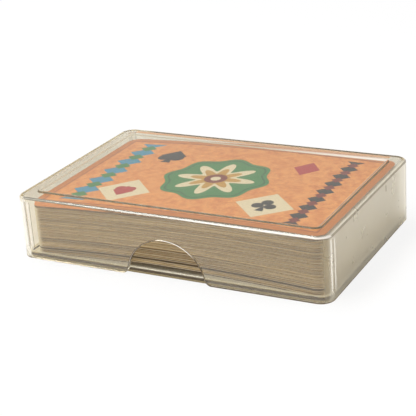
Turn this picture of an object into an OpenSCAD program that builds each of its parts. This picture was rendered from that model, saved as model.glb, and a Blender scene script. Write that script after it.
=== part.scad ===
// Clear plastic playing-card case: a deep lift-off lid over a shallow tray, holding a title card,
// a rules card and an arched deck of bridge-size cards.
// Origin: centre of the tray's underside. +X runs along the case, -Y is the front, +Z is up.

/* [Case] */
// Length of the closed case
case_l = 95; // [94:0.5:100]
// Width of the closed case
case_w = 62.7; // [62:0.1:68]
// Height from the table to the lid's rim
rim_z = 18.8; // [18.7:0.1:22]
// Outer radius of the upright corners
corner_r = 3.8; // [3.2:0.1:6]

/* [Lid] */
// Thickness of the lid's skirt
lid_wall = 1.1; // [0.9:0.05:1.3]
// Thickness of the lid's top
lid_top_t = 1; // [0.8:0.05:1.1]
// Rounding of the lid's outer top edge
lid_edge_r = 0.6; // [0.3:0.1:1]
// Height of the lid's lower edge above the table
skirt_z = 0.25; // [0.1:0.05:1]
// How far the panel in the lid's top stands up
panel_rise = 0.5; // [0.3:0.1:0.8]
// Width of the low border at the panel's ends
panel_border_x = 4; // [3.5:0.1:6]
// Width of the low border at the panel's sides
panel_border_y = 4.6; // [3.5:0.1:6]
// Corner radius of the panel
panel_r = 2.3; // [1:0.1:4]

/* [Thumb notches] */
// Radius of the notch in the middle of each long side
notch_r = 12; // [8:0.1:13]
// Height of the notch's centre, which is just below the table
notch_z = -0.5; // [-2:0.1:0]
// Radius that eases the notch into the lower edge
notch_ease_r = 2; // [1:0.1:3]

/* [Tray] */
// Thickness of the tray's rim
tray_wall = 0.8; // [0.7:0.05:0.9]
// Thickness of the tray's floor
floor_t = 1.2; // [0.9:0.1:1.2]
// Height of the tray's low rim above the table
tray_h = 2.1; // [1.9:0.1:2.6]
// Rounding of the tray's lower outer edge
tray_edge_r = 0.8; // [0.3:0.1:1]
// Running gap between the lid and the tray
fit_gap = 0.2; // [0.1:0.05:0.25]

/* [Cards] */
// Length of one card
card_l = 88.9; // [86:0.1:88.9]
// Width of one card
card_w = 57.15; // [56:0.05:57.15]
// Thickness of one card
card_t = 0.28; // [0.26:0.005:0.28]
// Corner radius of one card
card_r = 3.2; // [2:0.1:5]
// Air between one card and the next at the deck's left-hand end
card_gap = 0.024; // [0.02:0.001:0.026]
// How much more air there is at the right-hand end, where the deck fans out
fan = 0.033; // [0.03:0.001:0.035]
// Rise of the lowest card's middle above its ends
bow_low = 1.7; // [1.2:0.1:1.8]
// Rise of the title card's middle above its ends
bow_high = 1; // [0.8:0.05:1.1]
// Extra air where the deck has parted into two packets
packet_gap = 0.3; // [0:0.01:0.4]
// Room between the deck and the tray's right-hand end
deck_end_gap = 0.25; // [0.2:0.01:0.4]
// Room between the deck and the tray's front wall
deck_front_gap = 0.22; // [0.2:0.01:0.4]
// How far a card may stray from the middle of the deck
stray = 0.16; // [0:0.01:0.18]

/* [Hidden] */
$fn = 64;
over = 1;                 // how far a cutting shape runs past a face
deck_count = 45;
lower_count = 5;          // cards under the gap in the deck
stack_count = deck_count + 2;
bow_steps = 20;           // flat strips that make up a bowed card
edge_steps = 6;           // flats round an eased outer edge
ease_steps = 6;           // flats round a notch's lower corner
arc_steps = 24;           // flats round a quarter of a notch
tray_inset = lid_wall + fit_gap;
tray_l = case_l - 2 * tray_inset;
tray_w = case_w - 2 * tray_inset;
tray_r = corner_r - tray_inset;
inner_l = tray_l - 2 * tray_wall;
inner_w = tray_w - 2 * tray_wall;
panel_l = case_l - 2 * panel_border_x;
panel_w = case_w - 2 * panel_border_y;
pocket_inset = 0.9;       // the pocket under the panel is this much smaller all round
deck_x = inner_l / 2 - deck_end_gap - card_l / 2;
deck_y = -inner_w / 2 + deck_front_gap + card_w / 2;
deck_z = floor_t + 0.02;  // underside of the lowest card's ends
notch_tilt = asin((skirt_z + notch_ease_r - notch_z) / (notch_r + notch_ease_r));
ease_x = (notch_r + notch_ease_r) * cos(notch_tilt);

// Rise of the middle of card number i, counted from 1 at the bottom, above its ends
function bow(i) = bow_low + (bow_high - bow_low) * (i - 1) / (stack_count - 1);
// Step from one card to the next, at the share u of half a card's length from the deck's middle
function pitch(u) = card_t + card_gap + fan * (1 + u) / 2;
// Height of the underside of card number i at the share u
function card_z(i, u) = deck_z + (i - 1) * pitch(u) + (i > lower_count ? packet_gap : 0)
    + bow(i) * (1 - u * u);
// Small repeatable shift of card number i, between -stray and stray
function shift_x(i) = stray * sin(i * 137.5);
function shift_y(i) = stray * sin(i * 222.5 + 40);
// Name of card number i
function card_name(i) = str("card_", i < 10 ? "0" : "", i);
// Shade of the edge of card number i
function card_shade(i) = 0.86 + 0.05 * sin(i * 97);

// Flat rectangle with round corners, centred on the origin
module round_rect(l, w, r) {
    union() {
        square([l - 2 * r, w], center = true);
        square([l, w - 2 * r], center = true);
        for (sx = [-1, 1], sy = [-1, 1])
            translate([sx * (l / 2 - r), sy * (w / 2 - r)]) circle(r);
    }
}

// Upright block with round corners from height z0 to z1
module round_block(l, w, r, z0, z1) {
    translate([0, 0, z0]) linear_extrude(z1 - z0) round_rect(l, w, r);
}

// Section through the border of a block: flat inside, its upper outer corner an arc of radius edge_r
module border_section(r, h, edge_r) {
    polygon(concat(
        [[0, 0], [r, 0]],
        [for (k = [0 : edge_steps])
            [r - edge_r * (1 - cos(k * 90 / edge_steps)), h - edge_r * (1 - sin(k * 90 / edge_steps))]],
        [[0, h]]));
}

// Block with round upright corners whose upper outer edge is rounded
module soft_block(l, w, r, z0, z1, edge_r) {
    h = z1 - z0;
    translate([0, 0, z0])
    union() {
        translate([0, 0, h / 2]) cube([l - 2 * r, w - 2 * r, h], center = true);
        for (turn = [0, 180]) {
            rotate(turn) translate([0, w / 2 - r, 0]) rotate([90, 0, 90])
                linear_extrude(l - 2 * r, center = true) border_section(r, h, edge_r);
            rotate(turn + 90) translate([0, l / 2 - r, 0]) rotate([90, 0, 90])
                linear_extrude(w - 2 * r, center = true) border_section(r, h, edge_r);
        }
        for (sx = [-1, 1], sy = [-1, 1])
            translate([sx * (l / 2 - r), sy * (w / 2 - r), 0])
                rotate(sx > 0 ? (sy > 0 ? 0 : 270) : (sy > 0 ? 90 : 180))
                    rotate_extrude(angle = 90) border_section(r, h, edge_r);
    }
}

// Outline of a thumb notch, seen from the front, with its lower corners eased
module notch_outline() {
    right = concat(
        [[ease_x, skirt_z - over]],
        [for (k = [0 : ease_steps])
            let (a = 270 - k * (90 - notch_tilt) / ease_steps)
            [ease_x + notch_ease_r * cos(a), skirt_z + notch_ease_r * (1 + sin(a))]],
        [for (k = [1 : arc_steps])
            let (a = notch_tilt + k * (90 - notch_tilt) / arc_steps)
            [notch_r * cos(a), notch_z + notch_r * sin(a)]]);
    last = len(right) - 1;
    polygon(concat(right, [for (k = [last - 1 : -1 : 0]) [-right[k][0], right[k][1]]]));
}

// Deep clear lid: skirt, softly rounded top edge, raised panel and two thumb notches
module lid() {
    color([0.93, 0.9, 0.82, 0.4])
    difference() {
        union() {
            soft_block(case_l, case_w, corner_r, skirt_z, rim_z, lid_edge_r);
            round_block(panel_l, panel_w, panel_r, rim_z - lid_top_t / 2, rim_z + panel_rise);
        }
        round_block(case_l - 2 * lid_wall, case_w - 2 * lid_wall, corner_r - lid_wall,
                    skirt_z - over, rim_z - lid_top_t);
        round_block(panel_l - 2 * pocket_inset, panel_w - 2 * pocket_inset, panel_r - pocket_inset,
                    rim_z - lid_top_t - over, rim_z + panel_rise - lid_top_t);
        rotate([90, 0, 0])
            linear_extrude(case_w + 2 * over, center = true) notch_outline();
    }
}

// Shallow tray with a low rim and a rounded lower edge
module tray() {
    color([0.9, 0.87, 0.78, 0.4])
    difference() {
        translate([0, 0, tray_h]) mirror([0, 0, 1])
            soft_block(tray_l, tray_w, tray_r, 0, tray_h, tray_edge_r);
        round_block(inner_l, inner_w, tray_r - tray_wall, floor_t, tray_h + over);
    }
}

// Bowed card number i of the stack, shifted by dx and dy
module bowed_card(i, dx, dy) {
    reach = card_l / 2 + stray + over;
    strip = 2 * reach / bow_steps;
    under = [for (k = [0 : bow_steps])
        let (x = -reach + k * strip)
        [x, card_z(i, 2 * x / card_l)]];
    intersection() {
        translate([deck_x, deck_y + card_w / 2 + over, 0])
            rotate([90, 0, 0])
                linear_extrude(card_w + 2 * over)
                    polygon(concat(under, [for (k = [bow_steps : -1 : 0]) under[k] + [0, card_t]]));
        translate([deck_x + dx, deck_y + dy, 0])
            round_block(card_l, card_w, card_r, 0, rim_z);
    }
}

// Playing card number i of the deck, counted from 1 at the bottom
module deck_card(i) {
    color([card_shade(i), card_shade(i) * 0.93, card_shade(i) * 0.78])
        bowed_card(i, shift_x(i), shift_y(i));
}

// Plain card of rules that lies on the deck
module rules_card() {
    color([0.93, 0.9, 0.84]) bowed_card(deck_count + 1, 0, 0);
}

// Printed title card that lies on top and shows through the lid
module title_card() {
    color([0.9, 0.6, 0.4]) bowed_card(deck_count + 2, 0, 0);
}

tray();
lid();
rules_card();
title_card();
for (i = [1 : deck_count])
    deck_card(i);
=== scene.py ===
"""Looks of a clear lift-off card case that holds a bowed deck, a rules card and a printed title card."""

import logging
import math
from dataclasses import dataclass, field
from enum import Enum
from typing import Sequence

import bmesh
import bpy
from mathutils import Matrix, Vector


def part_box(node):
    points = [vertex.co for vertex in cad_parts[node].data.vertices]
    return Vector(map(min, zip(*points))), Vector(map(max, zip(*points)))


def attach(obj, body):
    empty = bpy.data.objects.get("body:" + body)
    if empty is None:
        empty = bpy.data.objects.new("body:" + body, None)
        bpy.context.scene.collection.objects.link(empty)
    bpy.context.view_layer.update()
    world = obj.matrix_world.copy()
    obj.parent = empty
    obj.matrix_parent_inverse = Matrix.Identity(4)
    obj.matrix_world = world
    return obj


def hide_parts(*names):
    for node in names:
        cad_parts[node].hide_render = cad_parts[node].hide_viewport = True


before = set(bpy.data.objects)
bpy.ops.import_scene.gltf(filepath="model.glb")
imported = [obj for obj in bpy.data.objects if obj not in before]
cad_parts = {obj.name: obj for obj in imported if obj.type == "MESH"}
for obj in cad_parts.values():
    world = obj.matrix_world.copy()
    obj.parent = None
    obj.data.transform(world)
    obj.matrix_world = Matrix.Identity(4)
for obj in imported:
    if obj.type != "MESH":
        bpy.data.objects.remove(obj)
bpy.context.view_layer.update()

LOG = logging.getLogger("card_case")
MM = 0.001

Pair = tuple[float, float]
Point = tuple[float, float, float]
Colour = tuple[float, float, float, float]
WHITE: Colour = (1.0, 1.0, 1.0, 1.0)
MARK_ROUGHNESS = 0.6


class Suit(Enum):
    """The four suits, whose pips are drawn on the cards."""

    SPADE = "spade"
    HEART = "heart"
    DIAMOND = "diamond"
    CLUB = "club"


def rgb(red: int, green: int, blue: int) -> Colour:
    """Turn a display colour of 0 to 255 into the linear colour that a shader takes."""
    linear = [((c / 255 + 0.055) / 1.055) ** 2.4 if c > 10 else c / 255 / 12.92 for c in (red, green, blue)]
    return (linear[0], linear[1], linear[2], 1.0)


@dataclass(frozen=True, eq=False)
class Wire:
    """A value in a node tree, which ordinary arithmetic works on. A comparison gives 1 or 0."""

    sheet: "NodeSheet"
    socket: bpy.types.NodeSocket

    def __add__(self, other: "Value") -> "Wire":
        """Add a value."""
        return self.sheet.calc("ADD", self, other)

    def __radd__(self, other: float) -> "Wire":
        """Add to a number."""
        return self.sheet.calc("ADD", other, self)

    def __sub__(self, other: "Value") -> "Wire":
        """Take a value away."""
        return self.sheet.calc("SUBTRACT", self, other)

    def __rsub__(self, other: float) -> "Wire":
        """Take away from a number."""
        return self.sheet.calc("SUBTRACT", other, self)

    def __mul__(self, other: "Value") -> "Wire":
        """Multiply by a value."""
        return self.sheet.calc("MULTIPLY", self, other)

    def __truediv__(self, other: "Value") -> "Wire":
        """Divide by a value."""
        return self.sheet.calc("DIVIDE", self, other)

    def __gt__(self, other: "Value") -> "Wire":
        """Test whether it is more than a value."""
        return self.sheet.calc("GREATER_THAN", self, other)

    def __lt__(self, other: "Value") -> "Wire":
        """Test whether it is less than a value."""
        return self.sheet.calc("LESS_THAN", self, other)

    def __abs__(self) -> "Wire":
        """Drop the sign."""
        return self.sheet.calc("ABSOLUTE", self)

    def remap(self, low: float, high: float, new_low: float, new_high: float) -> "Wire":
        """Move the value from the range low to high to a new range, held at the ends."""
        inputs = dict(enumerate((self, low, high, new_low, new_high)))
        return self.sheet.make("ShaderNodeMapRange", inputs, clamp=True)

    def mask(self, soft: float) -> "Wire":
        """Turn a signed distance into 1 inside and 0 outside, with an edge blurred over soft."""
        inputs = {0: self, 1: -1.0 / soft, 2: 0.5}
        return self.sheet.make("ShaderNodeMath", inputs, operation="MULTIPLY_ADD", use_clamp=True)

    def line(self, middle: float, half: float, soft: float) -> "Wire":
        """Pick the band of values within half of the middle, with edges blurred over soft."""
        return (abs(self - middle) - half).mask(soft)

    def split(self) -> tuple["Wire", "Wire", "Wire"]:
        """Split a vector into its three numbers."""
        step = self.sheet.node("ShaderNodeSeparateXYZ", {0: self})
        return self.sheet.out(step, 0), self.sheet.out(step, 1), self.sheet.out(step, 2)


Value = float | Wire
Inputs = dict[int | str, Value | Colour]


def most(first: Wire, *others: Value) -> Wire:
    """Give the largest of some values.

    Args:
        first: The first value.
        others: The other values.

    Returns:
        The largest one.
    """
    for other in others:
        first = first.sheet.calc("MAXIMUM", first, other)
    return first


def least(first: Wire, other: Value) -> Wire:
    """Give the smaller of two values."""
    return first.sheet.calc("MINIMUM", first, other)


def reach(u: Wire, v: Wire) -> Wire:
    """Give the distance of the point u, v from the origin."""
    return u.sheet.calc("SQRT", u * u + v * v)


@dataclass(frozen=True)
class NodeSheet:
    """A material's or the world's node tree, with short calls that add nodes to it."""

    tree: bpy.types.NodeTree

    def feed(self, socket: bpy.types.NodeSocket, value: Value | Colour) -> None:
        """Link a socket to a wire, or set its own value.

        Args:
            socket: The input to feed.
            value: A wire, a number or a colour.
        """
        if isinstance(value, Wire):
            self.tree.links.new(value.socket, socket)
        else:
            socket.default_value = value

    def node(self, kind: str, inputs: Inputs, **settings: object) -> bpy.types.Node:
        """Add a node, set its properties and feed its inputs.

        Args:
            kind: The node's type name.
            inputs: A value for each input to feed, by index or name.
            settings: Properties of the node by name.

        Returns:
            The new node.
        """
        made = self.tree.nodes.new(kind)
        for name, value in settings.items():
            setattr(made, name, value)
        for key, value in inputs.items():
            self.feed(made.inputs[key], value)
        return made

    def out(self, node: bpy.types.Node, output: int | str = 0) -> Wire:
        """Give one of a node's outputs."""
        return Wire(self, node.outputs[output])

    def make(self, kind: str, inputs: Inputs, output: int | str = 0, **settings: object) -> Wire:
        """Add a node and give one of its outputs, by index or name."""
        return self.out(self.node(kind, inputs, **settings), output)

    def calc(self, operation: str, a: Value, b: Value = 0.0) -> Wire:
        """Add one step of arithmetic on a, or on a and b."""
        return self.make("ShaderNodeMath", {0: a, 1: b}, operation=operation)

    def mix(self, share: Value, a: Wire | Colour, b: Wire | Colour) -> Wire:
        """Mix two colours, with the given share of the second."""
        return self.make("ShaderNodeMix", {0: share, 6: a, 7: b}, 2, data_type="RGBA")

    def blend(self, share: Value, a: Value, b: Value) -> Wire:
        """Mix two numbers, with the given share of the second."""
        return self.make("ShaderNodeMix", {0: share, 2: a, 3: b}, data_type="FLOAT")

    def mix_shaders(self, share: Value, a: Wire, b: Wire) -> Wire:
        """Mix two shaders, with the given share of the second."""
        return self.make("ShaderNodeMixShader", {0: share, 1: a, 2: b})

    def noise(self, place: Wire, scale: float, detail: float = 2.0, rough: float = 0.5) -> Wire:
        """Add a noise pattern with scale cells per metre, about 0.5 on average."""
        inputs = {"Vector": place, "Scale": scale, "Detail": detail, "Roughness": rough}
        return self.make("ShaderNodeTexNoise", inputs)

    def grain(self, place: Wire, scale: float, detail: float, strength: float) -> Wire:
        """Give the normal of a surface with the fine grain of card, scale grains per metre."""
        inputs = {"Height": self.noise(place, scale, detail), "Strength": strength, "Distance": 0.02 * MM}
        return self.make("ShaderNodeBump", inputs)

    def place(self) -> Wire:
        """Give the piece's own coordinates, which are the frame's in metres."""
        return self.make("ShaderNodeTexCoord", {}, "Object")

    def normal(self) -> tuple[Wire, Wire, Wire]:
        """Give the surface's normal."""
        return self.make("ShaderNodeNewGeometry", {}, "Normal").split()

    def light_path(self, name: str) -> Wire:
        """Give one of the facts about the ray that meets the surface."""
        return self.make("ShaderNodeLightPath", {}, name)


def new_material(name: str) -> tuple[bpy.types.Material, NodeSheet, bpy.types.Node, bpy.types.Node]:
    """Make an empty material with a principled shader.

    Args:
        name: The material's name.

    Returns:
        The material, its node sheet, the principled shader and the output node.
    """
    material = bpy.data.materials.new(name)
    material.use_nodes = True
    material.node_tree.nodes.clear()
    sheet = NodeSheet(material.node_tree)
    shader = sheet.node("ShaderNodeBsdfPrincipled", {})
    output = sheet.node("ShaderNodeOutputMaterial", {"Surface": sheet.out(shader)})
    return material, sheet, shader, output


def set_inputs(sheet: NodeSheet, node: bpy.types.Node, inputs: Inputs) -> None:
    """Feed several inputs of a node, each by its name."""
    for name, value in inputs.items():
        sheet.feed(node.inputs[name], value)


@dataclass(frozen=True)
class Spot:
    """A point on a surface: its place and normal, and the level parts of both without their signs."""

    place: tuple[Wire, Wire, Wire]
    normal: tuple[Wire, Wire, Wire]
    side: tuple[Wire, Wire]
    turned: tuple[Wire, Wire]

    @classmethod
    def on(cls, sheet: NodeSheet) -> "Spot":
        """Read the point that a material's nodes are at."""
        place, normal = sheet.place().split(), sheet.normal()
        return cls(place, normal, (abs(place[0]), abs(place[1])), (abs(normal[0]), abs(normal[1])))


def cover_marks(sheet: NodeSheet, clear: Wire, marks: Sequence[tuple[Wire, Colour, float]]) -> Wire:
    """Lay marks over the outside of clear plastic: painted highlights, painted shade, painted reflections
    and flecks.

    Args:
        sheet: The node sheet.
        clear: The plastic's own surface.
        marks: Each mark's share, colour and painted glow. A later mark hides an earlier one.

    Returns:
        The surface with its marks.
    """
    outside = 1.0 - sheet.make("ShaderNodeNewGeometry", {}, "Backfacing")
    surface = clear
    for share, colour, painted_glow in marks:
        finish = {"Base Color": colour, "Roughness": MARK_ROUGHNESS}
        # Painted glow: the marks' own emission, which brightens the painted highlights.
        glow = {"Emission Color": colour, "Emission Strength": painted_glow}
        mark = sheet.make("ShaderNodeBsdfPrincipled", finish | glow)
        surface = sheet.mix_shaders(share * outside, surface, mark)
    return surface


@dataclass(frozen=True)
class TrayMarks:
    """Painted highlight on the rim, painted shade in the band below it and painted olive light at the foot,
    run round the tray: heights in metres, and strengths.
    """

    foot: tuple[float, float, float] = (-0.2 * MM, 0.9 * MM, 0.75)
    groove: tuple[float, float, float] = (0.92 * MM, 1.7 * MM, 0.88)
    rim: tuple[float, float, float] = (1.95 * MM, 2.12 * MM, 0.9)
    # Colours of the foot's painted olive light, the painted shade and the rim's painted highlight.
    piped_light_olive: Colour = rgb(148, 132, 94)
    shade_brown: Colour = rgb(66, 48, 30)
    painted_highlight: Colour = rgb(240, 234, 216)
    upright: Pair = (0.6, 0.9)
    soft: float = 0.1 * MM

    def cover(self, sheet: NodeSheet, clear: Wire) -> Wire:
        """Lay the marks over the clear plastic.

        Args:
            sheet: The node sheet.
            clear: The plastic's own surface.

        Returns:
            The surface with its marks.
        """
        spot = Spot.on(sheet)
        upright = abs(spot.normal[2]).remap(*self.upright, 1.0, 0.0)
        # Rim: painted highlight. Groove: painted shade. Foot: painted olive tone of light carried inside
        # the plastic.
        bands = ((self.foot, self.piped_light_olive), (self.groove, self.shade_brown), (self.rim, self.painted_highlight))
        marks = []
        for (low, high, strength), colour in bands:
            line = spot.place[2].line((low + high) / 2, (high - low) / 2, self.soft)
            marks.append((line * upright * strength, colour, 0.0))
        return cover_marks(sheet, clear, marks)


@dataclass(frozen=True)
class LidMarks:
    """Where the lid carries painted highlights, painted shade, a painted reflection and a brown fleck. All
    sizes are in metres.
    """

    half_x: float
    half_y: float
    skirt_z: float
    rim_z: float
    corner_r: float
    edge_r: float
    notch_r: float
    notch_z: float
    panel_x: float
    panel_y: float
    panel_r: float
    # Colours of the painted highlights, of the painted shade (the brown fleck shares it) and of the painted
    # reflection of the title card.
    painted_highlight: Colour = rgb(250, 244, 234)
    shade_brown: Colour = rgb(88, 66, 40)
    mirrored: Colour = rgb(200, 146, 100)
    # Strength of the painted highlights' faint glow.
    painted_glow: float = 0.15
    soft: float = 0.08 * MM
    close: float = 0.02 * MM
    front_start: Pair = (0.6, 0.3)
    front_end: Pair = (0.74, 0.88)
    front_strength: Pair = (0.3, 0.8)
    # Limits of the painted highlight and of the painted shade line along the right-hand top edge.
    side_highlight: tuple[float, ...] = (0.74, 0.82, 0.94, 0.99, 0.3)
    side_shade: tuple[float, ...] = (0.05, 0.15, 0.66, 0.78, 0.55)
    lip_out: float = 0.12 * MM
    lip_half: float = 0.17 * MM
    # Strength of the painted shade on the notch's lip.
    lip_shade: float = 0.72
    # Strengths of the painted highlight and painted shade lines on the corners.
    corner_highlight: float = 0.78
    corner_shade: float = 0.45
    # Place and strength of the painted reflection of the title card, then of the painted glare.
    strip_in: float = 2.7 * MM
    strip_strength: float = 0.7
    glare_in: float = 1.7 * MM
    glare_strength: float = 0.55
    fleck_y: float = 11.1 * MM
    fleck_z: float = 16.4 * MM
    fleck_strength: float = 0.85
    # Width and strength of the painted shade along the panel's step, then its strength at the skirt's lower
    # edge.
    step_half: float = 0.14 * MM
    step_strength: float = 0.62
    hem_strength: float = 0.75

    def cover(self, sheet: NodeSheet, clear: Wire) -> Wire:
        """Lay the marks over the clear plastic.

        Args:
            sheet: The node sheet.
            clear: The plastic's own surface.

        Returns:
            The surface with its marks.
        """
        spot = Spot.on(sheet)
        notch_highlight, notch_shade = self._notch_lip(spot)
        corner_highlight, corner_shade = self._corners(spot)
        strip, glare = self._far_side(spot)
        side_highlight, side_shade = self._side_edge(spot, self.side_highlight), self._side_edge(spot, self.side_shade)
        # Painted highlights, the painted glare among them.
        pale = most(self._front_edge(spot), side_highlight, glare, notch_highlight, corner_highlight)
        # Painted shade lines, and the brown fleck.
        dark = most(side_shade, notch_shade, self._groove(spot), corner_shade, self._fleck(spot))
        # The strip along the back is a painted reflection of the title card.
        marks = ((dark, self.shade_brown, 0.0), (strip, self.mirrored, 0.0), (pale, self.painted_highlight, self.painted_glow))
        return cover_marks(sheet, clear, marks)

    def _band(self, spot: Spot) -> Wire:
        """Pick the height of the rounded top edge."""
        z = spot.place[2]
        return (z > self.rim_z - self.edge_r - 0.05 * MM) * (z < self.rim_z - 0.01 * MM)

    def _front_edge(self, spot: Spot) -> Wire:
        """Paint a highlight along the front's top edge, stronger towards the right.

        Args:
            spot: The point on the lid.

        Returns:
            The mask.
        """
        x, level = spot.place[0], spot.normal[2]
        start = x.remap(0.0, 32 * MM, *self.front_start)
        rise = (level - start).remap(-0.05, 0.12, 0.0, 1.0)
        fall = level.remap(*self.front_end, 1.0, 0.0)
        strength = x.remap(-30 * MM, 20 * MM, *self.front_strength)
        return rise * fall * strength * (spot.normal[1] < -0.2) * self._band(spot)

    def _side_edge(self, spot: Spot, limits: Sequence[float]) -> Wire:
        """Paint a line along the right-hand top edge where its normal's upward part lies within some
        limits: the painted highlight with one set of limits, the painted shade with another.

        Args:
            spot: The point on the lid.
            limits: The upward parts at which the mark starts, is full, starts to fade and ends, and
                its strength.

        Returns:
            The mask.
        """
        start, full, fade, end, strength = limits
        rise = spot.normal[2].remap(start, full, 0.0, strength)
        fall = spot.normal[2].remap(fade, end, 1.0, 0.0)
        return rise * fall * (spot.normal[0] > 0.2) * self._band(spot)

    def _notch_lip(self, spot: Spot) -> tuple[Wire, Wire]:
        """Paint a highlight on the notch's lip right of its top, and paint shade on the lip elsewhere.

        Args:
            spot: The point on the lid.

        Returns:
            The masks, the highlight one first.
        """
        x, _, z = spot.place
        away = reach(z - self.notch_z, x)
        lip = away.line(self.notch_r + self.lip_out, self.lip_half, self.soft) * (z > 2 * MM)
        turn = x / away
        bright = turn.remap(-0.22, 0.05, 0.0, 1.0) * turn.remap(0.6, 0.76, 1.0, 0.0)
        return lip * bright * (spot.turned[1] > 0.3), lip * (1.0 - bright) * self.lip_shade

    def _corners(self, spot: Spot) -> tuple[Wire, Wire]:
        """Draw the painted highlight lines that run down each upright corner, and the painted shade lines
        between them.

        Args:
            spot: The point on the lid.

        Returns:
            The masks, the highlight one first.
        """
        x, _, z = spot.place
        from_x, from_y = spot.side
        turned_x, turned_y = spot.turned
        angle = x.sheet.calc("ARCTAN2", turned_x, turned_y)
        left = x < 0.0
        at_end, at_side = from_x > self.half_x - self.close, from_y > self.half_y - self.close
        side_x, end_y = self.half_x - self.corner_r, self.half_y - self.corner_r
        round_line = angle.line(1.24, 0.055, 0.05)
        end_line = from_y.line(end_y - 0.6 * MM, 0.3 * MM, self.soft) * at_end
        side_line = from_x.line(side_x - 0.5 * MM, 0.35 * MM, self.soft) * at_side * left * 0.6
        # A broad painted highlight over the left-hand corners.
        whole = angle.remap(0.2, 0.32, 0.0, 0.75) * angle.remap(0.9, 1.1, 1.0, 0.0) * left
        between = angle.line(1.46, 0.05, 0.04) * (1.0 - left)
        inner = from_x.line(side_x - 1.1 * MM, 0.12 * MM, self.soft) * at_side
        dark = most(between, most(angle.line(0.1, 0.06, 0.04), inner) * left)
        upright = z.remap(2.2 * MM, 4.5 * MM, 0.0, 1.0) * (z < self.rim_z - self.edge_r - 0.5 * MM)
        here = upright * (most(turned_x, turned_y) > 0.7) * (from_y > end_y - 0.9 * MM)
        pale = most(round_line, end_line, whole, side_line)
        return pale * here * self.corner_highlight, dark * here * self.corner_shade

    def _far_side(self, spot: Spot) -> tuple[Wire, Wire]:
        """Paint the title card's reflection in the strip along the back, and a painted glare in front of
        it.

        Args:
            spot: The point on the lid.

        Returns:
            The masks, the strip first.
        """
        x, y, z = spot.place
        strip = y.line(self.half_y - self.strip_in, 0.8 * MM, 0.5 * MM) * (z > self.rim_z - 0.05 * MM)
        strip = strip * (spot.side[0] < self.half_x - 5 * MM) * self.strip_strength
        glare = y.line(self.panel_y - self.glare_in, 0.9 * MM, 1.0 * MM) * (z > self.rim_z + 0.4 * MM)
        glare = glare * x.remap(0.0, 34 * MM, 0.0, self.glare_strength)
        return strip, glare * (x < self.panel_x - 0.6 * MM)

    def _fleck(self, spot: Spot) -> Wire:
        """Leave a brown fleck on the right-hand wall.

        Args:
            spot: The point on the lid.

        Returns:
            The mask.
        """
        x, y, z = spot.place
        wide = y.line(self.fleck_y, 0.22 * MM, self.soft)
        tall = z.line(self.fleck_z, 0.9 * MM, 0.4 * MM)
        return wide * tall * (x > self.half_x - self.close) * self.fleck_strength

    def _groove(self, spot: Spot) -> Wire:
        """Paint shade along the panel's step and along the skirt's lower edge.

        Args:
            spot: The point on the lid.

        Returns:
            The mask.
        """
        z = spot.place[2]
        past_x = spot.side[0] - (self.panel_x - self.panel_r)
        past_y = spot.side[1] - (self.panel_y - self.panel_r)
        away = reach(most(past_x, 0.0), most(past_y, 0.0)) + least(most(past_x, past_y), 0.0)
        step = away.line(self.panel_r, self.step_half, self.soft) * self.step_strength
        step = step * (z > self.rim_z - 0.05 * MM)
        hem = z.remap(self.skirt_z + 0.15 * MM, self.skirt_z + 0.4 * MM, self.hem_strength, 0.0)
        return most(step, hem)


@dataclass(frozen=True)
class ClearPlastic:
    """Moulded clear polystyrene that has yellowed a little and has fine wear."""

    name: str
    tint: Colour = (0.94, 0.91, 0.84, 1.0)
    clearness: float = 0.985
    absorb_colour: Colour = (0.90, 0.77, 0.33, 1.0)
    absorb_density: float = 60.0
    ior: float = 1.56
    rough_low: float = 0.006
    rough_high: float = 0.02
    rough_scuffed: float = 0.3
    scuffed_from: float = 1.0
    passed: Colour = (0.95, 0.94, 0.91, 1.0)
    trapped: Colour = (0.95, 0.94, 0.91, 1.0)
    trapped_after: float = 3.5
    wear_scale: float = 900.0
    scuff_scale: float = 150.0
    marks: LidMarks | TrayMarks | None = None

    def build(self) -> bpy.types.Material:
        """Make the material.

        Returns:
            The material.
        """
        material, sheet, shader, output = new_material(self.name)
        place = sheet.place()
        wear = sheet.noise(place, self.wear_scale, 4.0, 0.6)
        wear = wear.remap(0.4, 0.7, self.rough_low, self.rough_high)
        scuffed = sheet.noise(place, self.scuff_scale, 3.0, 0.6)
        scuffed = scuffed.remap(0.3, 0.7, 0.9, 1.0) * self.rough_scuffed
        end_wall = abs(place.split()[0]).remap(self.scuffed_from, self.scuffed_from + 0.5 * MM, 0.0, 1.0)
        set_inputs(sheet, shader, {"Base Color": self.tint, "Transmission Weight": self.clearness})
        rough = end_wall * (scuffed - wear) + wear
        set_inputs(sheet, shader, {"IOR": self.ior, "Roughness": rough})
        clear = sheet.out(shader)
        surface = self.marks.cover(sheet, clear) if self.marks else clear
        inside = {"Color": self.absorb_colour, "Density": self.absorb_density}
        body = sheet.make("ShaderNodeVolumeAbsorption", inside)
        set_inputs(sheet, output, {"Surface": self._let_light_out(sheet, surface), "Volume": body})
        return material

    def _let_light_out(self, sheet: NodeSheet, surface: Wire) -> Wire:
        """Let lamp light straight through the walls, and light that a wall has trapped straight out.

        Args:
            sheet: The node sheet.
            surface: The plastic's own surface.

        Returns:
            The surface that the light meets.
        """
        soft = most(sheet.light_path("Is Shadow Ray"), sheet.light_path("Is Diffuse Ray"))
        trapped = sheet.light_path("Ray Depth") > self.trapped_after
        through = {"Color": sheet.mix(soft, self.trapped, self.passed)}
        straight = sheet.make("ShaderNodeBsdfTransparent", through)
        return sheet.mix_shaders(most(soft, trapped), surface, straight)


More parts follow.
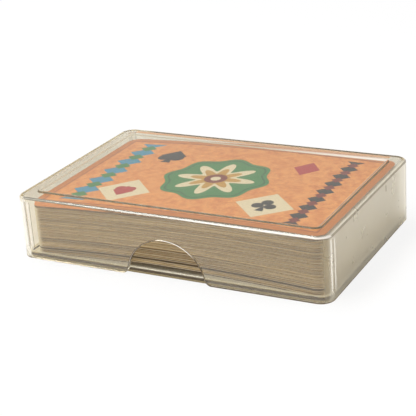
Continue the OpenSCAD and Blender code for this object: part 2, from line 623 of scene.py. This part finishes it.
@dataclass(frozen=True)
class StackShape:
    """How the cards lie on each other: bowed, parted in two packets, and fanned out to the right."""

    middle_x: float
    half_length: float
    base_z: float = 1.22 * MM
    card_thick: float = 0.28 * MM
    air: float = 0.024 * MM
    fan: float = 0.033 * MM
    bow_low: float = 1.7 * MM
    bow_high: float = 1.0 * MM
    packet_gap: float = 0.3 * MM
    lower_count: int = 5
    stack_count: int = 47

    @property
    def bow_step(self) -> float:
        """How much the bow changes from one card to the next."""
        return (self.bow_high - self.bow_low) / (self.stack_count - 1)

    def under(self, number: int, x: float) -> float:
        """Give the height of a card's underside.

        Args:
            number: The card's number, counted from 1 at the bottom.
            x: The place along the deck in metres.

        Returns:
            The height in metres.
        """
        u = (x - self.middle_x) / self.half_length
        pitch = self.card_thick + self.air + self.fan * (1 + u) / 2
        gap = self.packet_gap if number > self.lower_count else 0.0
        bow = self.bow_low + self.bow_step * (number - 1)
        return self.base_z + (number - 1) * pitch + gap + bow * (1 - u * u)


@dataclass(frozen=True)
class CardStock:
    """Aged card whose cut edges differ from card to card and whose faces are cream with a lattice back."""

    name: str
    stack: StackShape
    middle_y: float
    half_width: float
    edge_dark: Colour = rgb(94, 71, 42)
    edge_mid: Colour = rgb(156, 130, 90)
    edge_light: Colour = rgb(210, 185, 140)
    # Painted shade in the parting between the packets and at the lowest card.
    gap_shade: Colour = rgb(50, 36, 22)
    # Painted light: the cards' ends are drawn lighter than their long edges.
    lit_end: Colour = rgb(184, 170, 136)
    lit_end_left: Colour = rgb(218, 209, 186)
    face: Colour = rgb(226, 214, 190)
    back_ink: Colour = rgb(126, 52, 50)
    lattice_pitch: float = 3.2 * MM
    plain_border: float = 4.5 * MM
    soft: float = 0.1 * MM
    shade_reach: float = 2.5 * MM
    parting_shade: float = 0.85
    rough: float = 0.62

    def build(self) -> bpy.types.Material:
        """Make the material.

        Returns:
            The material.
        """
        material, sheet, shader, _ = new_material(self.name)
        place = sheet.place()
        x, y, z = place.split()
        edge, dim = self._edge(x, y, z)
        flat = abs(sheet.normal()[2]) > 0.7
        # The painted shade also reaches the card faces near their long edges.
        inward = self.half_width - self.shade_reach - abs(y - self.middle_y)
        at_rim = most(1.0 - flat, inward.mask(0.3 * MM))
        colour = sheet.mix(dim * at_rim, sheet.mix(flat, edge, self._lattice(x, y)), self.gap_shade)
        grain = sheet.grain(place, 5200.0, 2.0, 0.4)
        set_inputs(sheet, shader, {"Base Color": colour, "Roughness": self.rough, "Normal": grain})
        return material

    def _edge(self, x: Wire, y: Wire, z: Wire) -> tuple[Wire, Wire]:
        """Colour the cut edges, each card a little apart from the next and streaked along its length.

        Args:
            x: The place along the card.
            y: The place across the card.
            z: The height.

        Returns:
            The edge's colour, and how strong the painted shade is in the parting next to it and at the
            lowest card.
        """
        sheet, stack = x.sheet, self.stack
        u = (x - stack.middle_x) / stack.half_length
        arch = 1.0 - u * u
        pitch = u * (stack.fan / 2) + (stack.card_thick + stack.air + stack.fan / 2)
        number = (z - (arch * stack.bow_low + stack.base_z)) / (arch * stack.bow_step + pitch)
        along = (x + y) * 9.0
        lively = number.remap(6.0, 20.0, 2.2, 0.8)
        tone: Value = 0.0
        for stretch, layer, pitch_share, weight, changes in (
            (1.0, 0.0, 0.2, 0.45, False),
            (1.0, 7.0, 0.95, 0.8, True),
            (14.0, 3.0, 3.3, 0.5, False),
        ):
            at = sheet.make("ShaderNodeCombineXYZ", {0: along * stretch, 1: layer, 2: number * pitch_share})
            streak = sheet.noise(at, 1.0, 1.5, 0.5) - 0.5
            tone = tone + streak * (lively * weight if changes else weight)
        low = sheet.mix(tone.remap(-0.21, 0.0, 0.0, 1.0), self.edge_dark, self.edge_mid)
        edge = sheet.mix(tone.remap(0.01, 0.23, 0.0, 1.0), low, self.edge_light)
        # Painted light: lighter ends at the left and at the right.
        turned = sheet.normal()[0]
        edge = sheet.mix(turned.remap(-0.42, -0.12, 0.85, 0.0), edge, self.lit_end_left)
        edge = sheet.mix(turned.remap(0.6, 0.85, 0.0, 0.85), edge, self.lit_end)
        # Painted shade: the parting between the two packets, and the lower part of the lowest card.
        parting = number.line(stack.lower_count + 0.4, 0.85, 0.15)
        return edge, most(parting, number.remap(0.3, 0.8, 1.0, 0.0)) * self.parting_shade

    def _lattice(self, x: Wire, y: Wire) -> Wire:
        """Draw the lattice of lozenges on a card's back, inside a plain border.

        Args:
            x: The place along the card.
            y: The place across the card.

        Returns:
            The back's colour.
        """
        sheet, half = x.sheet, self.lattice_pitch / 2
        line = least(sheet.calc("PINGPONG", x + y, half), sheet.calc("PINGPONG", x - y, half)) - 0.35 * MM
        past_x = abs(x - self.stack.middle_x) - (self.stack.half_length - self.plain_border)
        past_y = abs(y - self.middle_y) - (self.half_width - self.plain_border)
        edge = most(past_x, past_y)
        drawn = most(line.mask(self.soft) * edge.mask(self.soft), edge.line(0.0, 0.3 * MM, self.soft))
        return sheet.mix(drawn, self.face, self.back_ink)


@dataclass(frozen=True)
class PlainPaper:
    """Plain cream card for the rules card."""

    name: str
    colour: Colour = rgb(228, 219, 198)
    edge: Colour = rgb(116, 94, 66)
    rough: float = 0.7

    def build(self) -> bpy.types.Material:
        """Make the material.

        Returns:
            The material.
        """
        material, sheet, shader, _ = new_material(self.name)
        place = sheet.place()
        aged = (self.colour[0] * 0.86, self.colour[1] * 0.8, self.colour[2] * 0.66, 1.0)
        mottle = sheet.noise(place, 160.0, 4.0, 0.6).remap(0.4, 0.8, 0.0, 0.6)
        flat = abs(sheet.normal()[2]) > 0.5
        colour = sheet.mix(flat, self.edge, sheet.mix(mottle, self.colour, aged))
        grain = sheet.grain(place, 4200.0, 2.0, 0.4)
        set_inputs(sheet, shader, {"Base Color": colour, "Roughness": self.rough, "Normal": grain})
        return material


@dataclass
class Canvas:
    """A card's face while it is painted: places in millimetres from its middle, and the colour so far."""

    u: Wire
    v: Wire
    colour: Wire

    def lay(self, share: Wire, ink: Colour) -> None:
        """Paint an ink over the colour so far."""
        self.colour = share.sheet.mix(share, self.colour, ink)

    def past(self, half_u: float, half_v: float) -> Wire:
        """Give the distance past a rectangle."""
        return most(abs(self.u) - half_u, abs(self.v) - half_v)


@dataclass(frozen=True)
class TitlePrint:
    """Orange printed card with a rosette, suit pips and bands of lozenges. All sizes are in millimetres."""

    name: str
    centre: Pair
    half: Pair
    ground: Colour = rgb(250, 174, 104)
    ground_worn: Colour = rgb(222, 134, 72)
    # Colour of the worn specks, and of the painted shade near the card's edge.
    ground_speck_and_shade: Colour = rgb(200, 122, 56)
    blue: Colour = rgb(64, 152, 196)
    green: Colour = rgb(64, 138, 84)
    dark_green: Colour = rgb(44, 104, 66)
    cream: Colour = rgb(244, 232, 206)
    tan: Colour = rgb(206, 160, 74)
    maroon: Colour = rgb(128, 48, 48)
    rose: Colour = rgb(188, 58, 66)
    charcoal: Colour = rgb(42, 46, 56)
    paper_edge: Colour = rgb(124, 96, 64)
    soft: float = 0.16
    border: float = 2.4
    band_half: float = 24.0
    disc_r: float = 15.5
    petal_count: float = 8.0
    plate_half: float = 8.6
    rough: float = 0.5

    def build(self) -> bpy.types.Material:
        """Make the material.

        Returns:
            The material.
        """
        material, sheet, shader, _ = new_material(self.name)
        place = sheet.place()
        x, y, _ = place.split()
        mottle = sheet.noise(place, 420.0, 5.0, 0.75)
        ground = sheet.mix(mottle.remap(0.42, 0.66, 0.0, 1.0), self.ground, self.ground_worn)
        canvas = Canvas(x * (1 / MM) - self.centre[0], y * (1 / MM) - self.centre[1], ground)
        canvas.lay(sheet.noise(place, 1100.0, 2.0, 0.6).remap(0.6, 0.72, 0.0, 0.55), self.ground_speck_and_shade)
        # Painted shade: the ground darker near the card's edge, under the lid's border.
        edge_shade = mottle * 1.6 + canvas.past(*self.half)
        canvas.lay(edge_shade.remap(-2.6, -0.6, 0.0, 0.9), self.ground_speck_and_shade)
        frame_line = canvas.past(self.half[0] - self.border, self.half[1] - self.border)
        canvas.lay(frame_line.line(0.0, 0.22, self.soft) * 0.75, self.maroon)
        self._bands(canvas)
        self._rosette(canvas)
        self._pips(canvas)
        colour = sheet.mix(sheet.normal()[2] > 0.5, self.paper_edge, canvas.colour)
        grain = sheet.grain(place, 3800.0, 3.0, 0.3)
        set_inputs(sheet, shader, {"Base Color": colour, "Roughness": self.rough, "Normal": grain})
        return material

    def _bands(self, canvas: Canvas) -> None:
        """Draw the two bands of lozenges that cross the card near its ends.

        Args:
            canvas: The card's face.
        """
        limit = (abs(canvas.v) - self.band_half).mask(self.soft)
        for middle, half_wide, pitch, first, second in (
            (-33.5, 4.6, 8.0, self.blue, self.green),
            (33.5, 2.9, 6.0, self.charcoal, self.maroon),
        ):
            across = abs(canvas.u - middle) / half_wide
            step = limit.sheet.calc("PINGPONG", canvas.v, pitch / 2) / (pitch / 2)
            soft = self.soft / half_wide
            canvas.lay((across + step - 0.94).mask(soft) * limit, first)
            canvas.lay((across + (1.0 - step) - 0.62).mask(soft) * limit, second)

    def _rosette(self, canvas: Canvas) -> None:
        """Draw the large rosette in the middle of the card.

        Args:
            canvas: The card's face.
        """
        away = reach(canvas.u, canvas.v)
        turn = away.sheet.calc("ARCTAN2", canvas.v, canvas.u)
        wave = away.sheet.calc("COSINE", turn * self.petal_count)
        outer = away - (wave * 0.9 + self.disc_r)
        canvas.lay(outer.mask(self.soft), self.green)
        canvas.lay(outer.line(-1.4, 0.28, self.soft), self.dark_green)
        for swing, radius, ink in (
            (3.1, 9.0, self.cream),
            (2.0, 6.0, self.tan),
            (0.0, 3.4, self.maroon),
            (0.0, 1.5, self.cream),
        ):
            canvas.lay((away - (wave * swing + radius)).mask(self.soft), ink)

    def _pips(self, canvas: Canvas) -> None:
        """Draw the four suit pips, two of them on cream lozenges.

        Args:
            canvas: The card's face.
        """
        for suit, at_u, at_v, size, ink, plate in (
            (Suit.SPADE, -22.0, 14.5, 5.2, self.charcoal, False),
            (Suit.HEART, -22.0, -14.5, 4.0, self.rose, True),
            (Suit.CLUB, 22.0, -14.5, 4.0, self.charcoal, True),
            (Suit.DIAMOND, 22.0, 14.5, 5.2, self.rose, False),
        ):
            u, v = canvas.u - at_u, canvas.v - at_v
            if plate:
                canvas.lay((abs(u) + abs(v) - self.plate_half).mask(self.soft), self.cream)
            canvas.lay(pip_distance(suit, u, v, size).mask(self.soft), ink)


def pip_distance(suit: Suit, u: Wire, v: Wire, size: float) -> Wire:
    """Give the signed distance to a suit's pip, which points along +v.

    Args:
        suit: The suit.
        u: Place across the pip.
        v: Place along the pip.
        size: Half the pip's height.

    Returns:
        The distance, negative inside.
    """

    def circle(at_u: float, at_v: float, radius: float) -> Wire:
        """Give the distance to a circle and to its mirror image."""
        return reach(abs(u) - at_u, v - at_v) - radius

    def lozenge(at_v: float, half_wide: float, half_high: float) -> Wire:
        """Give the distance to a lozenge."""
        return (abs(u) / half_wide + abs(v - at_v) / half_high - 1.0) * (half_wide * 0.7)

    def stem() -> Wire:
        """Give the distance to a stem that widens downwards."""
        drop = 0.0 - v
        return most(abs(u) - drop * 0.32, drop - size, v)

    if suit is Suit.DIAMOND:
        return lozenge(0.0, size * 0.78, size)
    lobe = size * 0.42
    if suit is Suit.CLUB:
        leaves = least(circle(size * 0.46, -size * 0.12, lobe), circle(0.0, size * 0.52, lobe))
        return least(leaves, stem())
    if suit is Suit.SPADE:
        point = lozenge(0.12 * size, size * 0.84, size * 0.88)
        return least(least(circle(size * 0.4, -size * 0.22, lobe), point), stem())
    point = lozenge(-0.08 * size, size * 0.84, size * 0.92)
    return least(circle(size * 0.4, size * 0.3, lobe), point)


def ring(half_x: float, half_y: float, radius: float, z: float, steps: int) -> list[Point]:
    """Give the points round a rectangle with round corners.

    Args:
        half_x: Half its length.
        half_y: Half its width.
        radius: Corner radius.
        z: Height of the ring.
        steps: Segments in each corner.

    Returns:
        The points, anticlockwise from the +X side.
    """
    points = []
    for turn, (sx, sy) in enumerate(((1, 1), (-1, 1), (-1, -1), (1, -1))):
        corner = (sx * (half_x - radius), sy * (half_y - radius))
        points += [(x, y, z) for x, y in arc(corner, radius, 90 * turn, 90 * (turn + 1), steps)]
    return points


def arc(centre: Pair, radius: float, start: float, end: float, steps: int) -> list[Pair]:
    """Give the points along an arc.

    Args:
        centre: Its centre.
        radius: Its radius.
        start: First angle in degrees.
        end: Last angle in degrees.
        steps: Number of segments.

    Returns:
        The points, both ends included.
    """
    points = []
    for k in range(steps + 1):
        angle = math.radians(start + (end - start) * k / steps)
        points.append((centre[0] + radius * math.cos(angle), centre[1] + radius * math.sin(angle)))
    return points


def add_object(name: str, data: bpy.types.ID) -> bpy.types.Object:
    """Put a mesh, camera or lamp into the scene.

    Args:
        name: The new object's name.
        data: What it shows.

    Returns:
        The new object.
    """
    made = bpy.data.objects.new(name, data)
    bpy.context.scene.collection.objects.link(made)
    return made


def skin(name: str, rings: Sequence[Sequence[Point]]) -> bpy.types.Object:
    """Join rings of points into one closed shell.

    Args:
        name: The new object's name.
        rings: Rings with the same number of points, from the first cap to the last.

    Returns:
        The new object.
    """
    bm = bmesh.new()
    loops = [[bm.verts.new(point) for point in points] for points in rings]
    count = len(loops[0])
    for low, high in zip(loops, loops[1:]):
        for k in range(count):
            after = (k + 1) % count
            bm.faces.new((low[k], low[after], high[after], high[k]))
    bm.faces.new(loops[0])
    bm.faces.new(loops[-1])
    bmesh.ops.recalc_face_normals(bm, faces=bm.faces)
    mesh = bpy.data.meshes.new(name)
    bm.to_mesh(mesh)
    bm.free()
    return add_object(name, mesh)


def freeze(piece: bpy.types.Object) -> None:
    """Apply a piece's modifiers to its mesh.

    Args:
        piece: The object.
    """
    graph = bpy.context.evaluated_depsgraph_get()
    final = bpy.data.meshes.new_from_object(piece.evaluated_get(graph))
    piece.modifiers.clear()
    piece.data = final


def finish_mould(piece: bpy.types.Object, bevel: float) -> None:
    """Ease a moulding's sharp edges and give its flats true normals.

    Args:
        piece: The moulding, with any cutting modifier already on it.
        bevel: Width of the eased edge.
    """
    ease = piece.modifiers.new("eased_edges", "BEVEL")
    ease.width = bevel
    ease.segments = 2
    ease.limit_method = "ANGLE"
    ease.angle_limit = math.radians(50)
    ease.use_clamp_overlap = True
    freeze(piece)
    piece.data.polygons.foreach_set("use_smooth", [True] * len(piece.data.polygons))
    normals = piece.modifiers.new("flat_normals", "WEIGHTED_NORMAL")
    normals.keep_sharp = True
    normals.weight = 80
    freeze(piece)


@dataclass
class Lid:
    """The deep clear lid, with its raised panel and two thumb notches."""

    wall: float = 1.1 * MM
    top_thick: float = 1.0 * MM
    corner_r: float = 3.8 * MM
    edge_r: float = 0.85 * MM
    inner_edge_r: float = 0.05 * MM
    rim_z: float = 18.8 * MM
    panel_border_x: float = 4.0 * MM
    panel_border_y: float = 4.6 * MM
    panel_r: float = 2.3 * MM
    panel_blend: float = 0.18 * MM
    pocket_inset: float = 0.9 * MM
    notch_r: float = 12.0 * MM
    notch_z: float = -0.5 * MM
    notch_ease_r: float = 2.0 * MM
    lip_bevel: float = 0.14 * MM
    corner_steps: int = 14

    def marks(self) -> LidMarks:
        """Give the places of the lid's marks.

        Returns:
            The marks.
        """
        low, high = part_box("lid")
        half_x, half_y = (high.x - low.x) / 2, (high.y - low.y) / 2
        return LidMarks(
            half_x=half_x,
            half_y=half_y,
            skirt_z=low.z,
            rim_z=self.rim_z,
            corner_r=self.corner_r,
            edge_r=self.edge_r,
            notch_r=self.notch_r,
            notch_z=self.notch_z,
            panel_x=half_x - self.panel_border_x,
            panel_y=half_y - self.panel_border_y,
            panel_r=self.panel_r,
        )

    def _rings(self) -> list[list[Point]]:
        """Lay out the lid's shell.

        Returns:
            Its rings, from the ceiling inside to the panel outside.
        """
        low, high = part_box("lid")
        half_x, half_y = (high.x - low.x) / 2, (high.y - low.y) / 2
        skirt_z, top_z = low.z, high.z
        ceiling = self.rim_z - self.top_thick
        panel_x, panel_y = half_x - self.panel_border_x, half_y - self.panel_border_y
        rings = []

        def outline(inset: float, z: float) -> None:
            """Add a ring inside the lid's outline."""
            rings.append(ring(half_x - inset, half_y - inset, self.corner_r - inset, z, self.corner_steps))

        def panel(grow: float, z: float) -> None:
            """Add a ring round the panel's outline."""
            rings.append(ring(panel_x + grow, panel_y + grow, self.panel_r + grow, z, self.corner_steps))

        panel(-self.pocket_inset, top_z - self.top_thick)
        panel(-self.pocket_inset, ceiling)
        inner_r = self.inner_edge_r
        for inset, z in arc((self.wall + inner_r, ceiling - inner_r), inner_r, 90, 180, 4):
            outline(inset, z)
        outline(self.wall, skirt_z)
        outline(0.0, skirt_z)
        for inset, z in arc((self.edge_r, self.rim_z - self.edge_r), self.edge_r, 180, 90, 10):
            outline(inset, z)
        blend = self.panel_blend
        for grow, z in arc((blend, self.rim_z + blend), blend, 270, 180, 4):
            panel(grow, z)
        for grow, z in arc((-blend, top_z - blend), blend, 0, 90, 4):
            panel(grow, z)
        return rings

    def _cutter(self) -> bpy.types.Object:
        """Make the prism that cuts both thumb notches.

        Returns:
            The prism's object.
        """
        low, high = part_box("lid")
        lift = low.z + self.notch_ease_r - self.notch_z
        tilt = math.degrees(math.asin(lift / (self.notch_r + self.notch_ease_r)))
        ease_x = (self.notch_r + self.notch_ease_r) * math.cos(math.radians(tilt))
        right = [(ease_x, low.z - 2 * MM)]
        right += arc((ease_x, low.z + self.notch_ease_r), self.notch_ease_r, 270, 180 + tilt, 8)
        right += arc((0.0, self.notch_z), self.notch_r, tilt, 90, 28)[1:]
        outline = right + [(-x, z) for x, z in reversed(right[:-1])]
        reach_y = high.y + 2 * MM
        return skin("notch_cutter", [[(x, y, z) for x, z in outline] for y in (-reach_y, reach_y)])

    def build(self, plastic: bpy.types.Material) -> None:
        """Build the lid and dress it.

        Args:
            plastic: The clear plastic.
        """
        lid = skin("clear_lid", self._rings())
        cutter = self._cutter()
        cut = lid.modifiers.new("notches", "BOOLEAN")
        cut.operation = "DIFFERENCE"
        cut.solver = "EXACT"
        cut.object = cutter
        finish_mould(lid, self.lip_bevel)
        bpy.data.objects.remove(cutter)
        lid.data.materials.clear()
        lid.data.materials.append(plastic)
        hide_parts("lid")
        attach(lid, "lid")
        LOG.info("lid: %d faces", len(lid.data.polygons))


@dataclass
class Tray:
    """The shallow clear tray inside the lid's skirt."""

    wall: float = 0.8 * MM
    floor: float = 1.2 * MM
    corner_r: float = 2.5 * MM
    edge_r: float = 0.8 * MM
    inner_edge_r: float = 0.5 * MM
    lip_bevel: float = 0.22 * MM
    corner_steps: int = 12

    def build(self, plastic: bpy.types.Material) -> None:
        """Build the tray and dress it.

        Args:
            plastic: The clear plastic.
        """
        low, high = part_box("tray")
        half_x, half_y = (high.x - low.x) / 2, (high.y - low.y) / 2
        rings = []

        def outline(inset: float, z: float) -> None:
            """Add a ring inside the tray's outline."""
            rings.append(ring(half_x - inset, half_y - inset, self.corner_r - inset, z, self.corner_steps))

        inner_r = self.inner_edge_r
        for inset, z in arc((self.wall + inner_r, self.floor + inner_r), inner_r, 270, 180, 5):
            outline(inset, z)
        outline(self.wall, high.z)
        outline(0.0, high.z)
        for inset, z in arc((self.edge_r, low.z + self.edge_r), self.edge_r, 180, 270, 8):
            outline(inset, z)
        tray = skin("clear_tray", rings)
        finish_mould(tray, self.lip_bevel)
        tray.data.materials.clear()
        tray.data.materials.append(plastic)
        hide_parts("tray")
        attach(tray, "tray")
        LOG.info("tray: %d faces", len(tray.data.polygons))


@dataclass
class BowedCard:
    """One card of the deck, bowed along its length, in the place of its node."""

    node: str
    piece: str
    slot: str
    body: str
    number: int
    corner_r: float = 3.2 * MM
    corner_steps: int = 6
    side_steps: int = 32
    length: float = field(init=False)
    width: float = field(init=False)

    def __post_init__(self) -> None:
        """Read the card's size from its node."""
        low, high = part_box(self.node)
        self.length, self.width = high.x - low.x, high.y - low.y

    def _stations(self) -> list[Pair]:
        """Lay out the places along the card at which it is cut across.

        Returns:
            Each place's distance from the card's middle, with the half width there.
        """
        straight, half = self.length / 2 - self.corner_r, self.width / 2
        right = []
        for k in range(1, self.corner_steps + 1):
            angle = math.radians(90 * k / self.corner_steps)
            half_there = half - self.corner_r * (1 - math.cos(angle))
            right.append((straight + self.corner_r * math.sin(angle), half_there))
        middle = [(straight * (2 * k / self.side_steps - 1), half) for k in range(self.side_steps + 1)]
        return [(-x, y) for x, y in reversed(right)] + middle + right

    def build(self, finish: bpy.types.Material, stack: StackShape) -> None:
        """Build the card and dress it.

        Args:
            finish: The card's material.
            stack: How the cards lie on each other.
        """
        low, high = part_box(self.node)
        centre_x, centre_y = (low.x + high.x) / 2, (low.y + high.y) / 2
        loops = []
        for along, half in self._stations():
            x = centre_x + along
            lower = stack.under(self.number, x)
            upper = lower + stack.card_thick
            near, far = centre_y - half, centre_y + half
            loops.append([(x, near, lower), (x, far, lower), (x, far, upper), (x, near, upper)])
        card = skin(self.piece, loops)
        card.data.polygons.foreach_set("use_smooth", [True] * len(card.data.polygons))
        card.data.set_sharp_from_angle(angle=math.radians(35))
        card.data.materials.append(finish)
        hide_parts(self.node)
        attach(card, self.body)
        LOG.info("%s: %d faces", self.node, len(card.data.polygons))


@dataclass
class Deck:
    """The deck in its two packets, with the rules card and the title card on top."""

    count: int = 45

    def build(self) -> None:
        """Build every card and dress it."""
        low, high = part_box("title_card")
        middle_x, middle_y = (low.x + high.x) / 2, (low.y + high.y) / 2
        half_length, half_width = (high.x - low.x) / 2, (high.y - low.y) / 2
        stack = StackShape(middle_x, half_length)
        stock = CardStock("card_stock", stack, middle_y, half_width).build()
        for number in range(1, self.count + 1):
            body = "lower_packet" if number <= stack.lower_count else "upper_packet"
            card = BowedCard(f"card_{number:02d}", f"playing_card_{number:02d}", "card_stock", body, number)
            card.build(stock, stack)
        rules = BowedCard("rules_card", "rules_sheet", "rules_paper", "rules_card", self.count + 1)
        rules.build(PlainPaper("rules_paper").build(), stack)
        title = BowedCard("title_card", "printed_title_card", "title_print", "title_card", self.count + 2)
        centre, half = (middle_x / MM, middle_y / MM), (half_length / MM, half_width / MM)
        title.build(TitlePrint("title_print", centre, half).build(), stack)


def stand(place: Point, x_axis: Vector, y_axis: Vector, z_axis: Vector) -> Matrix:
    """Give the matrix that puts an object in a place with its axes turned."""
    return Matrix.Translation(place) @ Matrix((x_axis, y_axis, z_axis)).transposed().to_4x4()


@dataclass(frozen=True)
class SoftLamp:
    """A soft rectangular lamp, its long side laid along a direction and its power in watts."""

    name: str
    place: Point
    along: Point
    size: Pair
    power: float
    mirrored: bool = True

    def hang(self) -> None:
        """Hang the lamp so that it faces the object, seen or unseen in what is glossy."""
        data = bpy.data.lights.new(self.name, "AREA")
        data.shape = "RECTANGLE"
        data.size, data.size_y = self.size
        data.energy = self.power
        lamp = add_object(self.name, data)
        lamp.visible_glossy = self.mirrored
        lamp.visible_transmission = False
        away = Vector(self.place).normalized()
        across = away.cross(Vector(self.along)).normalized()
        lamp.matrix_world = stand(self.place, across.cross(away), across, away)


@dataclass
class Studio:
    """The camera, the pale floor and the soft light."""

    camera_place: Point = (0.15484, -0.28604, 0.13994)
    yaw: float = 28.851
    pitch: float = 21.908
    roll: float = -4.1945
    focal: float = 105.29
    sensor: float = 36.0
    floor_half: float = 3.0
    floor_colour: Colour = (0.9, 0.9, 0.9, 1.0)
    floor_white: float = 0.84
    floor_through_plastic: float = 0.46
    floor_in_hollow: float = 0.03
    hollow_depths: Pair = (2.4, 2.6)
    world_low: float = 0.35
    world_high: float = 0.5
    world_heights: Pair = (0.1, 0.9)
    mirrored_front: float = 0.12
    mirrored_low: float = 0.85
    mirrored_back: float = 0.38
    mirrored_heights: Pair = (0.24, 0.33)
    mirrored_turn: Pair = (-0.1, 0.4)
    key: SoftLamp = SoftLamp("key_lamp", (-0.448, -0.25, 0.858), (0.0, 0.96, 0.28), (1.3, 0.3), 10.0)
    fill: SoftLamp = SoftLamp(
        "fill_lamp", (1.0, 0.35, 0.5), (-0.33, 0.94, 0.0), (0.8, 0.6), 3.5, mirrored=False
    )

    def build(self) -> None:
        """Make the camera, the floor, the world and the lamps."""
        self._camera()
        self._floor()
        self._world()
        self.key.hang()
        self.fill.hang()
        bpy.context.scene.view_settings.view_transform = "Standard"

    def _camera(self) -> None:
        """Place the camera as it was solved from the case's edges."""
        yaw, pitch, roll = (math.radians(a) for a in (self.yaw, self.pitch, self.roll))
        level = math.cos(pitch)
        back = Vector((math.sin(yaw) * level, -math.cos(yaw) * level, math.sin(pitch)))
        right = Vector((math.cos(yaw), math.sin(yaw), 0.0))
        up = back.cross(right)
        tilted_right = math.cos(roll) * right + math.sin(roll) * up
        tilted_up = math.cos(roll) * up - math.sin(roll) * right
        data = bpy.data.cameras.new("camera")
        data.lens = self.focal
        data.sensor_width = self.sensor
        data.clip_start = 0.01
        data.clip_end = 20.0
        camera = add_object("camera", data)
        camera.matrix_world = stand(self.camera_place, tilted_right, tilted_up, back)
        bpy.context.scene.camera = camera

    def _floor(self) -> None:
        """Lay the pale floor."""
        half = self.floor_half
        mesh = bpy.data.meshes.new("floor")
        corners = [(-half, -half, 0), (half, -half, 0), (half, half, 0), (-half, half, 0)]
        mesh.from_pydata(corners, [], [(0, 1, 2, 3)])
        floor = add_object("floor", mesh)
        floor.location.z = -0.02 * MM
        material, sheet, shader, output = new_material("floor_white")
        set_inputs(sheet, shader, {"Base Color": self.floor_colour, "Roughness": 0.9})
        in_plastic = most(sheet.light_path("Is Transmission Ray"), sheet.light_path("Is Glossy Ray"))
        depth = sheet.light_path("Ray Depth")
        deep = depth.remap(*self.hollow_depths, self.floor_in_hollow, self.floor_through_plastic)
        share = in_plastic * deep + sheet.light_path("Is Camera Ray") * self.floor_white
        white = sheet.make("ShaderNodeEmission", {"Color": WHITE})
        sheet.feed(output.inputs["Surface"], sheet.mix_shaders(share, sheet.out(shader), white))
        mesh.materials.append(material)

    def _world(self) -> None:
        """Light the scene from a soft dome, brighter overhead, that the plastic mirrors in its own way."""
        world = bpy.data.worlds.new("studio")
        world.use_nodes = True
        bpy.context.scene.world = world
        world.node_tree.nodes.clear()
        sheet = NodeSheet(world.node_tree)
        _, depth, height = sheet.make("ShaderNodeTexCoord", {}, "Generated").split()
        level = height.remap(*self.world_heights, self.world_low, self.world_high)
        in_plastic = most(sheet.light_path("Is Glossy Ray"), sheet.light_path("Is Transmission Ray"))
        behind = height.remap(*self.mirrored_heights, self.mirrored_low, self.mirrored_back)
        mirrored = sheet.blend(depth.remap(*self.mirrored_turn, 0.0, 1.0), self.mirrored_front, behind)
        unlit = sheet.blend(in_plastic, level, mirrored)
        strength = sheet.blend(sheet.light_path("Is Camera Ray"), unlit, 1.0)
        background = sheet.make("ShaderNodeBackground", {"Color": WHITE, "Strength": strength})
        sheet.node("ShaderNodeOutputWorld", {"Surface": background})


def main() -> None:
    """Build the studio and every piece in order."""
    logging.basicConfig(level=logging.INFO)
    Studio().build()
    tray_plastic = ClearPlastic(
        "tray_plastic",
        tint=(0.92, 0.88, 0.78, 1.0),
        trapped=(0.84, 0.79, 0.68, 1.0),
        trapped_after=2.5,
        marks=TrayMarks(),
    )
    Tray().build(tray_plastic.build())
    Deck().build()
    lid = Lid()
    marks = lid.marks()
    scuffed_from = marks.half_x - lid.wall - lid.corner_r / 4
    lid.build(ClearPlastic("lid_plastic", scuffed_from=scuffed_from, marks=marks).build())


if __name__ == "__main__":
    main()
